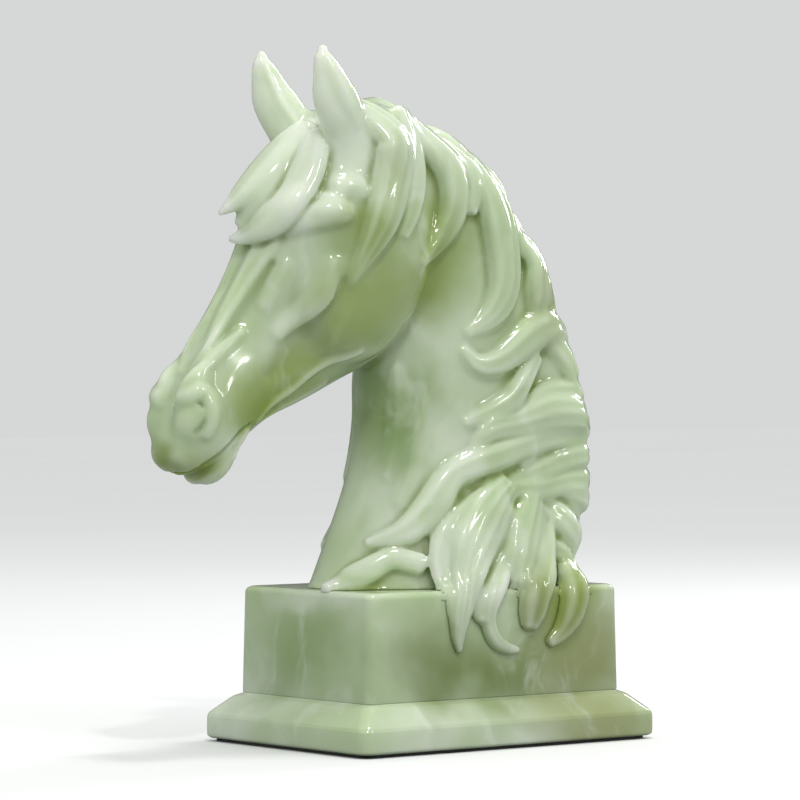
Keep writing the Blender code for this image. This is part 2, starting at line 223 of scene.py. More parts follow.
# Features of the left side of the face, in the head's own directions: along the head from
# the poll, up from its axis, and sideways. A ridge is raised and a groove is cut, both
# following the skin: points of along, up, side and half width, then height and softness.
RIDGES = [
    ([(58, 16, -13, 2), (55, 15.5, -15, 3.5), (50.5, 14, -19, 5), (46, 11, -23, 5.5), (43, 7, -25, 4.5),
      (41, 5, -26, 3)], 0.65, 2.5),  # eyeball and lids
    ([(53, 18, -13, 1), (46, 18, -15, 1.8), (41.5, 14, -21, 2), (40.5, 9, -25, 1.2)], 0.6, 2.0),  # upper lid
    ([(34, 14, -22, 1.5), (30.5, 9, -25, 2.2), (30, 4, -26, 1.5)], 0.3, 4.0),  # brow
    ([(59, -1, -25, 1.2), (64, -3, -24, 2.4), (70, -6, -23, 3), (77, -6, -20, 3), (84, -4, -17, 2.4),
      (90, -3, -14, 1.2)], 0.3, 5.0),  # facial crest
    ([(68, 10, -15, 1.2), (72, 9, -15, 2.2), (78, 8, -13.5, 2), (85, 7, -12, 1)], 0.2, 4.0),
    ([(60, 17, -11, 0.8), (64, 16, -11, 1.3), (76, 15.5, -9, 1.3), (87, 15, -8, 1.2), (98, 15, -7.5, 1.2),
      (108, 15, -7, 1.1), (120, 14, -3, 0.8)], 0.55, 2.0),  # edge of the nasal bone
    ([(98, 8, -10, 1), (108, 11, -10, 1.6), (118, 13, -9, 1.8), (126, 13.5, -7, 1.8), (134, 12, -5, 1)], 0.5, 3.0),
    ([(131, 12.5, -8, 1.5), (128, 11.5, -11, 2.2), (126.5, 9, -13.5, 2.4), (129, 5, -15.5, 2.4),
      (134, 1.5, -16.5, 2.2), (139, 0, -16, 1.4)], 0.55, 3.0),  # rim of the nostril
    ([(120, -16.5, -11, 1), (112, -17, -12.5, 1.6), (102, -21, -13, 1.8), (95, -22.5, -14, 1.8),
      (84, -26, -17, 1.8), (74, -30, -20, 1)], 0.9, 1.2),  # edge of the lower jaw
    ([(118, -18, -10, 1), (107, -24, -9, 1.5), (98, -29, -9, 1.5), (89, -33, -10, 1)], 0.9, 1.2),
    ([(136, -16.5, -9.5, 1), (130, -16, -11.5, 1.6), (125, -15, -12, 1)], 1.0, 1.0),
]
GROOVES = [
    ([(55, 13, -18, 0.7), (51, 15, -18, 0.9), (47, 15, -20, 0.7)], 1.0, 1.5),  # between the lids
    ([(62, -10, -22, 1.5), (70, -12, -20, 4), (80, -13, -18, 6), (90, -12, -16, 5), (104, -9, -14, 1.5)],
     0.3, 5.0),  # cheek hollow
    ([(70, 13, -11, 1.4), (84, 11.5, -10, 2), (98, 11, -9, 2), (110, 13, -8, 1.2)], 0.3, 3.0),
    ([(131, 10, -13, 1), (131, 6.5, -15.5, 1.3), (133.5, 4.5, -16.5, 1.4), (137.5, 3.5, -16.5, 1.4),
      (141, 4, -15, 1)], 0.9, 1.0),  # nostril
    ([(152, -5, -2, 0.9), (146, -8.5, -10.5, 1), (137, -11, -12.5, 1.1), (130, -12, -13, 1.1),
      (123, -14, -12, 0.7)], 1.6, 0.8),  # mouth
]
# along, up, side, then three radii, then softness
LUMPS = [
    (38, 11, -22.5, 5, 2.4, 2.6, 3.5),  # swelling behind the eye
    (133, 5.5, -9, 9.5, 6.5, 5.8, 4.5),  # wing of the nostril
    (125, 12, -9, 7, 3, 3.5, 5.0),  # upper rim of the nostril
    (62, -20, -17.5, 21, 21, 10, 6.0),  # jowl
    (139, -14.5, -3, 10, 6, 8, 2.0),  # chin
    (12, 8, -14.5, 17, 10.5, 8.5, 8.0),  # root of the ear
]


# ---------------------------------------------------------------- shapes

def spline(stations, steps):
    """Catmull-Rom curve through rows of numbers, with steps points to each span."""
    rows = np.array(stations, float)
    rows = np.vstack((2 * rows[0] - rows[1], rows, 2 * rows[-1] - rows[-2]))
    curve = []
    for a, b, c, d in zip(rows, rows[1:], rows[2:], rows[3:]):
        for t in np.arange(steps) / steps:
            bend = (2 * a - 5 * b + 4 * c - d) * t**2 + (3 * b - a - 3 * c + d) * t**3
            curve.append(0.5 * (2 * b + (c - a) * t + bend))
    curve.append(rows[-2])
    return np.array(curve)


def tube(rings):
    """Points and triangles of a closed tube through rings of points."""
    rings = np.array(rings)
    count, around = rings.shape[:2]
    points = np.vstack((rings.reshape(-1, 3), rings[0].mean(0), rings[-1].mean(0)))
    first, last = len(points) - 2, len(points) - 1
    triangles = []
    for i in range(around):
        j = (i + 1) % around
        for k in range(count - 1):
            a, b, c, d = k * around + i, k * around + j, (k + 1) * around + j, (k + 1) * around + i
            triangles += [(a, b, c), (a, c, d)]
        end = (count - 1) * around
        triangles += [(first, j, i), (last, end + i, end + j)]
    triangles = np.array(triangles)
    inside_out = np.linalg.det(points[triangles]).sum() < 0
    return points, triangles[:, ::-1] if inside_out else triangles


def ellipse(centre, wide, deep, half_width, half_depth, count=72):
    a = np.linspace(0, 2 * np.pi, count, endpoint=False)[:, None]
    return centre + wide * half_width * np.sin(a) + deep * half_depth * np.cos(a)


def head_point(along, up, side):
    return POLL + HEAD_AXIS * along + HEAD_UP * up + SIDE * side


def head_loft():
    rings = []
    for along, top, ridge_y, ridge_z, wide_y, wide_z, jaw_y, jaw_z, bottom in spline(HEAD_SECTIONS, 8):
        half = [(0, top), (ridge_y, ridge_z), (wide_y, wide_z), (jaw_y, jaw_z), (0, bottom)]
        outline = half + [(-y, z) for y, z in reversed(half[1:-1])]
        closed = spline(outline[-1:] + outline + outline[:2], 6)[6:-7]
        rings.append([head_point(along, z, y) for y, z in closed])
    return tube(rings)


def neck_loft():
    rings = []
    for x, z, lean, depth, half in spline(NECK_SECTIONS, 8):
        lean = math.radians(lean)
        back = np.array((math.cos(lean), 0, math.sin(lean)))
        rings.append(ellipse(np.array((x, 0, z)), SIDE, back, half, depth))
    return tube(rings)


def crest_loft():
    path = spline(CREST_SECTIONS, 8)
    ahead = np.gradient(path, axis=0)
    rings = []
    for (x, z, half, depth), step in zip(path, ahead):
        out = np.array((-step[1], 0, step[0])) / math.hypot(step[0], step[1])
        rings.append(ellipse(np.array((x, 0, z)), SIDE, out, half, depth))
    return tube(rings)


def box_corners(node):
    low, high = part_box(node)
    return np.array(low) / MM, np.array(high) / MM


# ---------------------------------------------------------------- clay

def soft_min(a, b, blend):
    near = np.maximum(blend - np.abs(a - b), 0) / blend
    return np.minimum(a, b) - near * near * blend / 4


class Clay:
    """Signed distances on a grid, in millimetres, negative inside the clay."""

    def __init__(self, low, high):
        self.start = np.floor(np.array(low) / STEP).astype(int)
        shape = np.ceil(np.array(high) / STEP).astype(int) - self.start + 1
        self.far = np.full(shape, BAND, np.float32)

    def copy(self):
        other = Clay((0, 0, 0), (0, 0, 0))
        other.start, other.far = self.start, self.far.copy()
        return other

    def window(self, low, high):
        """The part of the grid that covers a box: its slices and its points."""
        first = np.clip(np.floor(low / STEP).astype(int) - self.start, 0, self.far.shape)
        last = np.clip(np.ceil(high / STEP).astype(int) - self.start + 1, 0, self.far.shape)
        axes = [(np.arange(a, b) + s) * STEP for a, b, s in zip(first, last, self.start)]
        slices = tuple(slice(a, b) for a, b in zip(first, last))
        return slices, np.stack(np.meshgrid(*axes, indexing="ij"), -1).astype(np.float32)

    def add(self, low, high, distance, blend):
        where, points = self.window(np.array(low) - blend, np.array(high) + blend)
        self.far[where] = soft_min(self.far[where], distance(points), blend)

    def cut(self, low, high, distance, blend):
        where, points = self.window(np.array(low) - blend, np.array(high) + blend)
        self.far[where] = -soft_min(-self.far[where], distance(points), blend)

    def add_solid(self, points, triangles, blend):
        grid = openvdb.FloatGrid.createLevelSetFromPolygons(
            points.astype(np.float32),
            triangles=triangles.astype(np.uint32),
            transform=openvdb.createLinearTransform(STEP),
            halfWidth=BAND / STEP,
        )
        solid = np.empty_like(self.far)
        grid.copyToArray(solid, ijk=tuple(int(n) for n in self.start))
        self.far = soft_min(self.far, solid, blend)

    def with_block(self, distance):
        """A copy of this clay with another solid added, for laying strands on."""
        copy = self.copy()
        where, points = self.window(np.array((-80.0, -60.0, 0.0)), np.array((80.0, 60.0, 90.0)))
        copy.far[where] = np.minimum(copy.far[where], distance(points))
        return copy

    def at(self, points):
        """Distances at any points, read from the eight grid points round each."""
        place = np.clip(points / STEP - self.start, 0, np.array(self.far.shape) - 1.001)
        base = place.astype(int)
        share = place - base
        total = np.zeros(len(points))
        for corner in np.ndindex(2, 2, 2):
            weight = np.where(corner, share, 1 - share).prod(1)
            total += weight * self.far[tuple((base + corner).T)]
        return total

    def slope(self, points):
        steps = np.eye(3) * STEP
        return unit(np.column_stack([self.at(points + s) - self.at(points - s) for s in steps]) + 1e-9)

    def skin(self, points):
        """The places on the surface near some points, and the outward normals there."""
        points = np.array(points, float)
        for _ in range(6):
            points -= self.slope(points) * self.at(points)[:, None]
        return points, self.slope(points)

    def surface(self):
        grid = openvdb.FloatGrid(BAND)
        grid.copyFromArray(self.far, ijk=tuple(int(n) for n in self.start))
        grid.transform = openvdb.createLinearTransform(STEP)
        return grid.convertToPolygons(isovalue=0.0, adaptivity=0.0)


def along_path(points, path):
    """Nearest place on a polyline for each point, counted in the polyline's points."""
    nearest = np.full(points.shape[:-1], np.inf, np.float32)
    place = np.zeros_like(nearest)
    for i, (a, b) in enumerate(zip(path, path[1:])):
        step = b - a
        t = np.clip(((points - a) @ step) / (step @ step), 0, 1)
        gap = ((points - a - t[..., None] * step) ** 2).sum(-1)
        closer = gap < nearest
        nearest = np.where(closer, gap, nearest)
        place = np.where(closer, i + t, place)
    return place


def unit(vectors):
    return vectors / np.linalg.norm(vectors, axis=-1, keepdims=True)


class Strand:
    """A tapered strand: path of centres, half widths, thicknesses and outward normals."""

    def __init__(self, centres, half, thick, normals, ridges=0, depth=0.0):
        self.ridges, self.depth = ridges, depth
        ahead = unit(np.gradient(centres, axis=0))
        across = unit(np.cross(ahead, normals))
        self.centres = centres
        self.table = np.column_stack((centres, across, np.cross(across, ahead), half, thick))
        margin = max(half) + 1.5
        self.low, self.high = centres.min(0) - margin, centres.max(0) + margin

    def __call__(self, points):
        flat = points.reshape(-1, 3)
        place = along_path(flat, self.centres.astype(np.float32))
        index = np.arange(len(self.centres))
        values = np.column_stack([np.interp(place, index, column) for column in self.table.T])
        offset = flat - values[:, :3]
        u = (offset * values[:, 3:6]).sum(1)
        v = (offset * values[:, 6:9]).sum(1)
        half, thick = values[:, 9], values[:, 10]
        length = np.linalg.norm(offset, axis=1)
        beyond = np.sqrt(np.maximum(length**2 - u**2 - v**2, 0))
        ratio = np.sqrt((u / half) ** 2 + (v / thick) ** 2 + (beyond / thick) ** 2)
        distance = length * (1 - 1 / np.maximum(ratio, 1e-4))
        if self.ridges:
            groove = 0.5 + 0.5 * np.cos(np.pi * self.ridges * (u / half + 1))
            distance += self.depth * groove * np.clip(half / 5, 0, 1) * (v > 0)
        return distance.reshape(points.shape[:-1]).astype(np.float32)


class Ball:
    """An ellipsoid: centre, three axes as rows, and three radii."""

    def __init__(self, centre, axes, radii):
        self.centre, self.axes, self.radii = np.array(centre), np.array(axes), np.array(radii)
        self.low, self.high = self.centre - max(radii), self.centre + max(radii)

    def __call__(self, points):
        offset = points - self.centre
        length = np.linalg.norm(offset, axis=-1)
        ratio = np.linalg.norm((offset @ self.axes.T) / self.radii, axis=-1)
        return (length * (1 - 1 / np.maximum(ratio, 1e-4))).astype(np.float32)


def add(clay, shape, blend):
    clay.add(shape.low, shape.high, shape, blend)


def cut(clay, shape, blend):
    clay.cut(shape.low, shape.high, shape, blend)


def lying_strand(points, body, side=1, lift=0.35, flat=0.8, ridges=0, depth=0.0, snap=False):
    """A strand laid on a body of clay and flattened towards it, mirrored with side -1.

    Its centre line stands at least lift half widths off the surface, and exactly that
    far with snap.
    """
    rows = spline(points, 5)
    rows[:, 1] *= side
    spots, half = rows[:, :3], rows[:, 3]
    feet, normals = body.skin(spots)
    height = np.zeros(len(rows)) if snap else ((spots - feet) * normals).sum(1)
    centres = (feet if snap else spots) + normals * np.maximum(half * lift - height, 0)[:, None]
    for _ in range(3):
        normals[1:-1] = (normals[:-2] + normals[1:-1] + normals[2:]) / 3
        centres[1:-1] = (centres[:-2] + 2 * centres[1:-1] + centres[2:]) / 4
    return Strand(centres, half, half * flat, unit(normals), ridges, depth)


def head_strand(points, body, side, flat):
    """A strand on the skin of the head, from points in the head's own directions."""
    rows = [(*head_point(along, up, y), half) for along, up, y, half in points]
    return lying_strand(rows, body, side, 0.0, flat, snap=True)


def carve_face(clay):
    head_axes = (HEAD_AXIS, HEAD_UP, SIDE)
    for side in (1, -1):
        for along, up, y, long, high, wide, blend in LUMPS:
            add(clay, Ball(head_point(along, up, y * side), head_axes, (long, high, wide)), blend)
    bare = clay.with_block(plinth_distance)
    for side in (1, -1):
        for points, flat, blend in GROOVES:
            cut(clay, head_strand(points, bare, side, flat), blend)
        for points, flat, blend in RIDGES:
            add(clay, head_strand(points, bare, side, flat), blend)


# folds of the left ear, raised or cut: x, y, z and radius, then softness
EAR_FOLDS = [
    (cut, [(-57, -27, 229, 2), (-63, -26.5, 238, 3), (-66.5, -25, 246, 2)], 3.0),
    (add, [(-53, -21, 230, 1.5), (-59, -22, 239, 1.8), (-62.3, -21.4, 247, 1.5), (-64.6, -20.4, 252, 1)], 2.5),
    (add, [(-55, -11, 230, 1.5), (-61, -13.2, 239, 1.6), (-64, -15, 247, 1.4), (-65.2, -16.6, 252, 1)], 1.5),
]


def add_ears(clay):
    for side in (1, -1):
        rows = spline(EAR, 5)
        rows[:, 1] *= side
        outward = np.tile(SIDE * -side, (len(rows), 1))
        add(clay, Strand(rows[:, :3], rows[:, 3], rows[:, 4], outward), 5.0)
        for shape, points, blend in EAR_FOLDS:
            rows = spline(points, 5)
            rows[:, 1] *= side
            shape(clay, Strand(rows[:, :3], rows[:, 3], rows[:, 3], outward[: len(rows)]), blend)


def crest_locks(body):
    """Short locks along the middle of the crest, swept by turns to the left and right."""
    path = spline(CREST_SECTIONS, 8)
    places = np.arange(len(path))
    for k in range(CREST_LOCKS):
        side = 1 if k % 2 else -1
        start = 4 + k * (len(path) - 16) / CREST_LOCKS
        points = []
        for ahead, y, half in ((0, -3, 2.5), (2.5, 3, 5), (5, 9, 5), (8, 15, 3), (10, 19, 1)):
            x, z, _, depth = (np.interp(start + ahead, places, column) for column in path.T)
            points.append((x + depth, y * side, z + depth / 2, half))
        yield lying_strand(points, body, 1, 0.0, 0.7, ridges=2, depth=0.3, snap=True)


def plinth_distance(points, grow=0.0):
    """Distance to the plinth block, with its upright corners and top edge rounded."""
    low, high = box_corners("plinth_block")
    middle, half = (low + high) / 2, (high - low) / 2 + grow
    local = np.abs(points - middle)
    draft = DRAFT * np.clip((points[..., 2] - low[2]) / (high[2] - low[2]), 0, 1)
    corner = PLINTH_CORNER + grow
    edge = PLINTH_EDGE + grow
    x = local[..., 0] - half[0] + draft + corner
    y = local[..., 1] - half[1] + draft + corner
    plan = np.hypot(np.maximum(x, 0), np.maximum(y, 0)) + np.minimum(np.maximum(x, y), 0) - corner
    a, b = plan + edge, local[..., 2] - half[2] + edge
    return np.hypot(np.maximum(a, 0), np.maximum(b, 0)) + np.minimum(np.maximum(a, b), 0) - edge


def dowel_distance(points, node):
    low, high = box_corners(node)
    centre = (low + high) / 2
    away = points - centre
    radius = (high[0] - low[0]) / 2 + GAP
    return np.maximum(np.hypot(away[..., 0], away[..., 1]) - radius, np.abs(away[..., 2]) - 11.5)


def sculpt_bust():
    low, high = box_corners("horse_bust")
    clay = Clay(low - 4, high + 4)
    for (points, triangles), blend in zip((head_loft(), neck_loft(), crest_loft()), (1.0, 3.5, 8.0)):
        clay.add_solid(points, triangles, blend)
    carve_face(clay)
    body = clay.with_block(plinth_distance)
    add_ears(clay)
    for lock in crest_locks(body):
        add(clay, lock, 2.0)
    for lock in LOCKS:
        ridges = max(2, round(2 * max(half for _, _, _, half in lock) / RIDGE_WIDTH))
        add(clay, lying_strand(lock, body, 1, 0.2, 0.55, ridges, depth=0.45), 2.4)
        shifted = [(x + FAR_SIDE_SHIFT, y, z - FAR_SIDE_SHIFT, half) for x, y, z, half in lock]
        add(clay, lying_strand(shifted, body, -1, 0.2, 0.55, ridges, depth=0.45), 2.4)
    for lock in FORELOCKS:
        add(clay, lying_strand(lock, body, 1, 0.35, 0.6, ridges=2, depth=0.3), 2.0)
    add(clay, lying_strand(CHEST_LOCK, body), 2.0)
    for muscle in NECK_MUSCLES:
        for side in (1, -1):
            add(clay, lying_strand(muscle, body, side, 0.0, 0.15, snap=True), 4.0)
    where, points = clay.window(np.array((-75.0, -60.0, 0.0)), np.array((75.0, 60.0, 75.0)))
    block = plinth_distance(points).astype(np.float32)
    clay.far[where] = soft_min(clay.far[where], block, 3.0)
    clay.far[where] = np.maximum(clay.far[where], SEAM - block)
    for node in ("bust_dowel_front", "bust_dowel_rear"):
        hole = dowel_distance(points, node).astype(np.float32)
        clay.far[where] = np.maximum(clay.far[where], -hole)
    return clay


def hollowness(clay, points):
    """How much clay lies around each point: under a half on ridges, over a half in hollows."""
    blurred = clay.copy()
    blurred.far = np.clip(0.5 - clay.far / STEP, 0, 1)
    for axis in range(3):
        for reach in (3.5, 2.5):
            blurred.far = running_mean(blurred.far, round(reach / STEP), axis)
    return blurred.at(points)


def running_mean(values, reach, axis):
    """Mean of each value and its neighbours up to reach away along an axis."""
    pad = [(reach + 1, reach) if a == axis else (0, 0) for a in range(3)]
    total = np.moveaxis(np.cumsum(np.pad(values, pad), axis, dtype=np.float32), axis, 0)
    mean = (total[2 * reach + 1 :] - total[: -2 * reach - 1]) / (2 * reach + 1)
    return np.moveaxis(mean, 0, axis)


# ---------------------------------------------------------------- meshes

def new_object(name, points, faces, material, slot, *nodes):
    mesh = bpy.data.meshes.new(name)
    mesh.from_pydata((np.asarray(points) * MM).tolist(), [], np.asarray(faces).tolist())
    mesh.validate()
    mesh.shade_smooth()
    mesh.materials.append(material)
    obj = bpy.data.objects.new(name, mesh)
    bpy.context.scene.collection.objects.link(obj)
    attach(obj, "root")
    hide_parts(*nodes)
    return obj


def rounded_ring(half_x, half_y, radius, z, count=10):
    ring = []
    for quarter, (sx, sy) in enumerate(((1, 1), (-1, 1), (-1, -1), (1, -1))):
        for k in range(count):
            a = math.pi / 2 * (quarter + k / (count - 1))
            ring.append((sx * (half_x - radius) + radius * math.cos(a), sy * (half_y - radius) + radius * math.sin(a), z))
    return ring


def ring_solid(name, outline, half_x, half_y, corner, material, slot, node):
    """A block with rounded corners whose sides follow an outline of inset and height."""
    rings = [rounded_ring(half_x - inset, half_y - inset, corner, z) for inset, z in outline]
    points, faces = tube(rings)
    obj = new_object(name, points, faces, material, slot, node)
    obj.data.set_sharp_from_angle(angle=math.radians(40))
    return obj


def press_on_plinth(points):
    """Draws what is just off the plinth's surface down onto it, so that edges run out thin."""
    gap = plinth_distance(points) - SEAM
    steps = np.eye(3) * 0.01
    out = unit(np.column_stack([plinth_distance(points + s) - plinth_distance(points - s) for s in steps]))
    share = np.clip(1 - gap / PRESS, 0, 1) ** 2
    return points - out * (gap * share)[:, None]


def make_bust(material):
    clay = sculpt_bust()
    points, _, quads = clay.surface()
    points = press_on_plinth(points.astype(float))
    bust = new_object("bust", points, quads[:, ::-1], material, "jade", "horse_bust")
    # how hollow each place is, which drives the painted shade in hollows and the painted light on thin ridges
    hollow = hollowness(clay.with_block(plinth_distance), points)
    apart = np.clip(plinth_distance(points) / RUN_OUT, 0, 1)
    for name, values in (("hollow", hollow), ("apart", apart)):
        bust.data.attributes.new(name, "FLOAT", "POINT").data.foreach_set("value", values)
    return bust


def make_plinth(material):
    low, high = box_corners("plinth_block")
    foot_top = box_corners("base_moulding")[1][2] + SEAM
    outline = [(0.3, foot_top), (0.1, foot_top + 0.1), (0, foot_top + 0.3)]
    for k in range(9):
        a = math.pi / 2 * k / 8
        outline.append((DRAFT + PLINTH_EDGE * (1 - math.cos(a)), high[2] - PLINTH_EDGE * (1 - math.sin(a))))
    return ring_solid("plinth", outline, high[0], high[1], PLINTH_CORNER, material, "jade", "plinth_block")


def make_foot(material):
    low, high = box_corners("base_moulding")
    outline = spline([(inset, low[2] + rise) for inset, rise in FOOT_PROFILE], 4)
    return ring_solid("foot", outline, high[0], high[1], FOOT_CORNER, material, "jade", "base_moulding")


def make_felt(material):
    low, high = box_corners("felt_pad")
    thick = high[2] - low[2]
    outline = [(0.35 * (1 - math.sin(a)), low[2] + thick * (1 - math.cos(a)) / 2) for a in np.linspace(0, np.pi, 9)]
    return ring_solid("felt_sheet", outline, high[0], high[1], FOOT_CORNER, material, "felt", "felt_pad")


# ---------------------------------------------------------------- materials

class Nodes:
    """A new material's node tree, with short ways to add and join nodes."""

    def __init__(self, name):
        self.material = bpy.data.materials.new(name)
        self.material.use_nodes = True
        self.tree = self.material.node_tree
        self.shader = self.tree.nodes["Principled BSDF"]
        self.place = self.tree.nodes.new("ShaderNodeTexCoord").outputs["Object"]

    def add(self, kind, settings=None, **inputs):
        node = self.tree.nodes.new("ShaderNode" + kind)
        for name, value in (settings or {}).items():
            setattr(node, name, value)
        for name, value in inputs.items():
            self.put(node.inputs[name.replace("_", " ")], value)
        return node

    def put(self, socket, value):
        if isinstance(value, bpy.types.NodeSocket):
            self.tree.links.new(value, socket)
        else:
            socket.default_value = value

    def noise(self, scale, detail=3.0, roughness=0.5, distortion=0.0, place=None):
        node = self.add("TexNoise", Vector=place or self.place, Scale=scale, Detail=detail,
                        Roughness=roughness, Distortion=distortion)
        return node.outputs["Fac"]

    def ramp(self, value, low, high, out_low=0.0, out_high=1.0):
        node = self.add("MapRange", {"interpolation_type": "SMOOTHSTEP"}, Value=value)
        for name, number in zip(("From Min", "From Max", "To Min", "To Max"), (low, high, out_low, out_high)):
            node.inputs[name].default_value = number
        return node.outputs["Result"]

    def mix(self, factor, a, b):
        node = self.add("Mix", {"data_type": "RGBA"})
        self.put(node.inputs[0], factor)
        self.put(node.inputs[6], a)
        self.put(node.inputs[7], b)
        return node.outputs[2]

    def maths(self, operation, a, b=0.0):
        node = self.add("Math", {"operation": operation})
        self.put(node.inputs[0], a)
        self.put(node.inputs[1], b)
        return node.outputs[0]

    def vector_maths(self, operation, a, b=(0.0, 0.0, 0.0)):
        node = self.add("VectorMath", {"operation": operation})
        self.put(node.inputs[0], a)
        self.put(node.inputs[1], b)
        return node

    def set(self, **inputs):
        for name, value in inputs.items():
            self.put(self.shader.inputs[name.replace("_", " ")], value)

    def bump(self, height, strength, distance):
        self.set(Normal=self.add("Bump", Height=height, Strength=strength, Distance=distance).outputs["Normal"])


MILK = (0.84, 0.89, 0.78, 1)
CELADON = (0.52, 0.64, 0.39, 1)
OLIVE = (0.28, 0.37, 0.07, 1)
MOSS = (0.22, 0.35, 0.08, 1)
SAND = (0.33, 0.37, 0.15, 1)
# dark green used only as painted shade on the plinth's side
PLINTH_SIDE_SHADE = (0.18, 0.24, 0.045, 1)

# clouds of colour in the stone, a few of them partly painted shade: centre in millimetres, radii, colour and strength
CLOUDS = [
    ((-62, -8, 240), (34, 34, 34), MILK, 0.9),  # ears and forelock
    ((-84, 0, 200), (20, 20, 22), MILK, 0.4),
    ((-71, -19, 195), (12, 12, 10), MILK, 0.9),  # lids
    ((-82, -14, 160), (12, 12, 16), MILK, 0.6),  # front of the cheek
    ((-20, -14, 224), (36, 26, 16), MILK, 0.5),
    ((-98, -4, 164), (24, 24, 26), CELADON, 0.95),  # nose
    ((-120, -4, 124), (20, 26, 16), CELADON, 0.8),
    ((-48, -26, 186), (18, 12, 14), OLIVE, 0.6),  # around the eye
    ((-44, -28, 210), (12, 10, 14), OLIVE, 0.3),
    # the jowl: its own olive, made darker still as painted shade
    ((-46, -26, 160), (26, 16, 22), OLIVE, 0.75),  # jowl
    ((-62, -20, 148), (24, 18, 14), OLIVE, 0.6),
    ((-16, -24, 176), (24, 14, 30), OLIVE, 0.95),  # behind the cheek
    # under the jaw: its own olive, with painted shade on the underside
    ((-78, -10, 134), (34, 24, 16), OLIVE, 1.0),  # under the jaw
    ((-118, -2, 105), (24, 26, 12), OLIVE, 1.0),  # chin and lip
    # front of the neck: its own moss green, with painted shade
    ((-34, -8, 126), (20, 26, 40), MOSS, 0.75),  # front of the neck
    ((-12, -24, 108), (14, 12, 22), MILK, 0.6),
    ((-24, -20, 78), (24, 20, 20), MILK, 0.6),  # foot of the neck
    ((24, -24, 166), (36, 26, 32), CELADON, 0.8),  # mane
    ((44, -22, 168), (16, 24, 26), SAND, 0.6),
    ((-10, -38, 70), (20, 14, 20), MILK, 0.5),  # fan of locks
    ((15, -44, 52), (14, 16, 18), SAND, 0.8),
    ((34, -42, 50), (18, 18, 20), OLIVE, 1.0),
    ((-62, 6, 38), (22, 34, 20), MOSS, 0.6),  # front of the plinth
    ((-64, -12, 60), (22, 44, 9), MILK, 0.5),
    # painted shade on the middle of the plinth's side, over its own green
    ((-6, -43, 31), (48, 16, 28), PLINTH_SIDE_SHADE, 0.9),  # side of the plinth
    ((48, -42, 34), (34, 24, 28), SAND, 0.95),
    ((46, -50, 8), (44, 24, 13), SAND, 0.85),  # foot
    ((-74, -6, 10), (14, 42, 12), CELADON, 0.7),
    ((-44, -52, 10), (34, 20, 12), MILK, 0.35),
]


def cloud(nodes, wander, centre, radii, strength):
    """A soft patch: one times strength at its centre, and nothing past its radii."""
    offset = nodes.vector_maths("SUBTRACT", wander, tuple(c * MM for c in centre)).outputs["Vector"]
    scaled = nodes.vector_maths("DIVIDE", offset, tuple(r * MM for r in radii)).outputs["Vector"]
    away = nodes.vector_maths("LENGTH", scaled).outputs["Value"]
    return nodes.ramp(away, 1.25, 0.25, 0.0, strength)


def painted_relief_shade(nodes, colour, hollow_shade, ridge_light):
    """The colour, made greener in hollows as painted shade and whiter where the stone is thin as painted light."""
    hollow = nodes.add("Attribute", {"attribute_name": "hollow"}).outputs["Fac"]
    colour = nodes.mix(nodes.ramp(hollow, 0.52, 0.75, 0.0, hollow_shade), colour, OLIVE)
    return nodes.mix(nodes.ramp(hollow, 0.46, 0.28, 0.0, ridge_light), colour, MILK)


def jade(name, carved):
    nodes = Nodes(name)
    stir = nodes.add("TexNoise", Vector=nodes.place, Scale=22.0, Detail=3.0)
    drift = nodes.vector_maths("SUBTRACT", stir.outputs["Color"], (0.5, 0.5, 0.5)).outputs["Vector"]
    drift = nodes.vector_maths("MULTIPLY", drift, (0.05, 0.05, 0.05)).outputs["Vector"]
    wander = nodes.vector_maths("ADD", nodes.place, drift).outputs["Vector"]
    colour = nodes.mix(nodes.ramp(nodes.noise(14.0, 3.0, 0.5, 0.4), 0.35, 0.7, 0.0, 0.7), CELADON, MILK)
    colour = nodes.mix(nodes.ramp(nodes.noise(26.0, 3.0, 0.5, 0.8), 0.56, 0.74, 0.0, 0.3), colour, MOSS)
    if carved:
        # painted shade in hollows and painted light on thin ridges, under the clouds
        colour = painted_relief_shade(nodes, colour, 0.5, 0.8)
    for centre, radii, tint, strength in CLOUDS:
        colour = nodes.mix(cloud(nodes, wander, centre, radii, strength), colour, tint)
    if carved:
        # painted shade in hollows and painted light on thin ridges again, over the clouds
        colour = painted_relief_shade(nodes, colour, 0.75, 0.5)
    streaks = nodes.add("Mapping", Vector=wander, Scale=(1.0, 1.0, 0.3)).outputs["Vector"]
    streaks = nodes.ramp(nodes.noise(60.0, 3.0, 0.5, 0.4, streaks), 0.56, 0.72, 0.0, 0.35)
    colour = nodes.mix(streaks, colour, MILK)
    nodes.set(Base_Color=colour, Roughness=nodes.ramp(nodes.noise(60.0, 3.0), 0.3, 0.7, 0.08, 0.16), IOR=1.55)
    glow = 0.3
    if carved:
        glow = nodes.ramp(nodes.add("Attribute", {"attribute_name": "apart"}).outputs["Fac"], 0.1, 1.0, 0.0, 0.75)
    nodes.set(Subsurface_Weight=glow, Subsurface_Radius=(0.9, 1.0, 0.6), Subsurface_Scale=0.007)
    nodes.set(Coat_Weight=0.4, Coat_Roughness=0.02)
    nodes.bump(nodes.noise(110.0, 2.0), 0.05, 0.0006)
    return nodes.material


def felt(name):
    nodes = Nodes(name)
    fibres = nodes.noise(2600.0, 4.0, 0.7, 1.5)
    nodes.set(Base_Color=nodes.mix(fibres, (0.012, 0.013, 0.012, 1), (0.05, 0.052, 0.05, 1)))
    nodes.set(Roughness=nodes.ramp(fibres, 0.2, 0.8, 0.85, 1.0), Sheen_Weight=0.3, Sheen_Roughness=0.5)
    nodes.bump(fibres, 0.8, 0.0006)
    return nodes.material


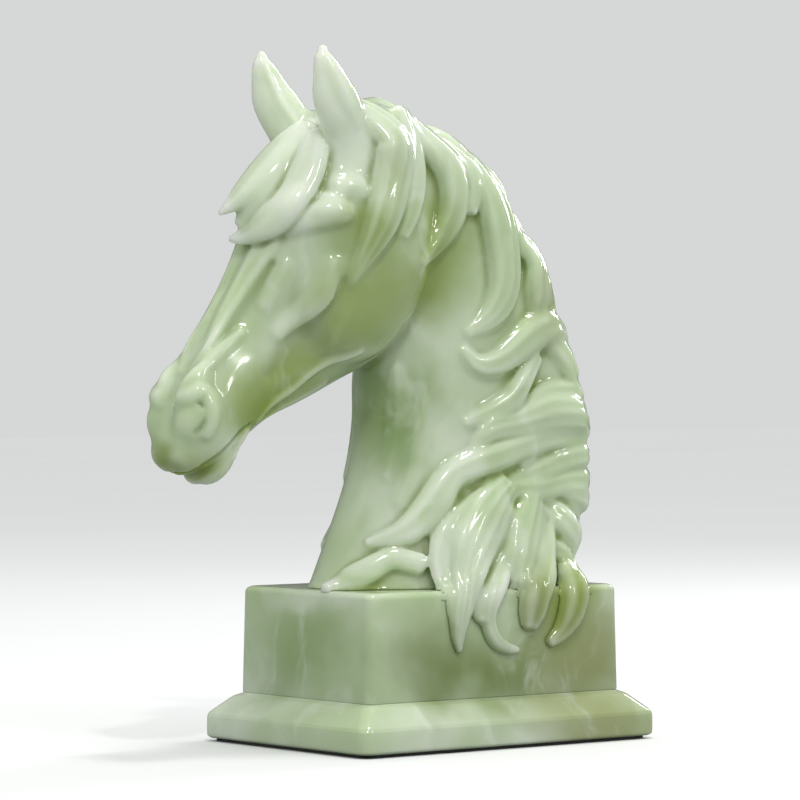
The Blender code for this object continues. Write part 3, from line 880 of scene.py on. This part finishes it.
def turned_steel(name):
    """Steel rod with fine rings left by turning, about an upright axis."""
    nodes = Nodes(name)
    rings = nodes.add("Mapping", Vector=nodes.place, Scale=(20.0, 20.0, 4000.0)).outputs["Vector"]
    marks = nodes.noise(1.0, 2.0, 0.5, 0.0, rings)
    nodes.set(Base_Color=nodes.mix(marks, (0.42, 0.43, 0.44, 1), (0.6, 0.61, 0.62, 1)), Metallic=1.0)
    nodes.set(Roughness=nodes.ramp(marks, 0.3, 0.7, 0.22, 0.38))
    nodes.bump(marks, 0.3, 0.0001)
    return nodes.material


def finish_dowels(material):
    for name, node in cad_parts.items():
        if "dowel" in name:
            node.data.materials.clear()
            node.data.materials.append(material)


# ---------------------------------------------------------------- studio

# strength of the air's light on surfaces, in reflections and as the camera sees it
AIR_LIGHT = 0.82
AIR_REFLECTED = 0.14
AIR_SEEN = 0.695


def make_floor():
    nodes = Nodes("floor_paint")
    tone = nodes.noise(3.0, 2.0)
    paint = nodes.mix(tone, (0.84, 0.84, 0.84, 1), (0.88, 0.88, 0.88, 1))
    seen = nodes.add("LightPath").outputs["Is Camera Ray"]  # darker to the stone than to the camera
    nodes.set(Base_Color=nodes.mix(seen, (0.3, 0.31, 0.31, 1), paint), Roughness=0.7)
    nodes.set(Specular_IOR_Level=0.0)
    mesh = bpy.data.meshes.new("floor")
    reach = 6.0
    corners = [(-reach, -reach, 0), (reach, -reach, 0), (reach, reach, 0), (-reach, reach, 0)]
    mesh.from_pydata(corners, [], [(0, 1, 2, 3)])
    mesh.materials.append(nodes.material)
    floor = bpy.data.objects.new("floor", mesh)
    bpy.context.scene.collection.objects.link(floor)
    floor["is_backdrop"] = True


def aim(obj, place, target):
    obj.location = place
    obj.rotation_mode = "QUATERNION"
    obj.rotation_quaternion = (Vector(target) - Vector(place)).to_track_quat("-Z", "Y")


def add_light(name, place, target, width, height, watts, colour=(1, 1, 1)):
    light = bpy.data.lights.new(name, "AREA")
    light.shape = "RECTANGLE"
    light.size, light.size_y, light.energy, light.color = width, height, watts, colour
    obj = bpy.data.objects.new(name, light)
    bpy.context.scene.collection.objects.link(obj)
    aim(obj, place, target)


def make_studio():
    make_floor()
    make_air()
    middle = (0, 0, 0.14)
    add_light("key", (-0.6, -1.1, 1.6), middle, 0.1, 0.1, 6.5, (1, 0.99, 0.96))
    add_light("strip", (0.5, -1.4, 1.1), middle, 0.08, 0.5, 2.5)
    add_light("rim_right", (1.2, 0.2, 0.7), middle, 0.15, 0.6, 4, (0.97, 1, 1))
    add_light("top", (0.1, -0.1, 1.4), middle, 0.2, 0.2, 4)


def make_air():
    """Soft light from all round, pale where the camera sees it and dim in reflections."""
    world = bpy.data.worlds.new("studio_air")
    world.use_nodes = True
    tree = world.node_tree
    background = tree.nodes["Background"]
    background.inputs["Color"].default_value = (0.96, 0.985, 0.97, 1)
    ray = tree.nodes.new("ShaderNodeLightPath").outputs
    strength = AIR_LIGHT
    for kind, value in (("Is Glossy Ray", AIR_REFLECTED), ("Is Camera Ray", AIR_SEEN)):
        mix = tree.nodes.new("ShaderNodeMix")
        tree.links.new(ray[kind], mix.inputs[0])
        if isinstance(strength, float):
            mix.inputs[2].default_value = strength
        else:
            tree.links.new(strength, mix.inputs[2])
        mix.inputs[3].default_value = value
        strength = mix.outputs[0]
    tree.links.new(strength, background.inputs["Strength"])
    bpy.context.scene.world = world
    bpy.context.scene.view_settings.view_transform = "Standard"


def make_camera():
    """The camera looks from the front left, a little above the middle of the bust."""
    camera = bpy.data.objects.new("camera", bpy.data.cameras.new("camera"))
    bpy.context.scene.collection.objects.link(camera)
    camera.data.sensor_width = 36.0
    camera.data.lens = LENS
    azimuth, elevation = math.radians(AZIMUTH), math.radians(ELEVATION)
    towards = Vector((
        math.sin(azimuth) * math.cos(elevation), -math.cos(azimuth) * math.cos(elevation), math.sin(elevation),
    ))
    target = Vector(TARGET) * MM
    aim(camera, target + towards * DISTANCE * MM, target)
    bpy.context.scene.camera = camera


def main():
    make_bust(jade("jade_bust", True))
    plain = jade("jade_plain", False)
    make_plinth(plain)
    make_foot(plain)
    make_felt(felt("felt_black"))
    finish_dowels(turned_steel("steel_turned"))
    make_studio()
    make_camera()


main()
visual_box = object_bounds()
boxes = {"cad": cad_box, "visual": visual_box}
{name: [list(corner) for corner in box] for name, box in boxes.items()}
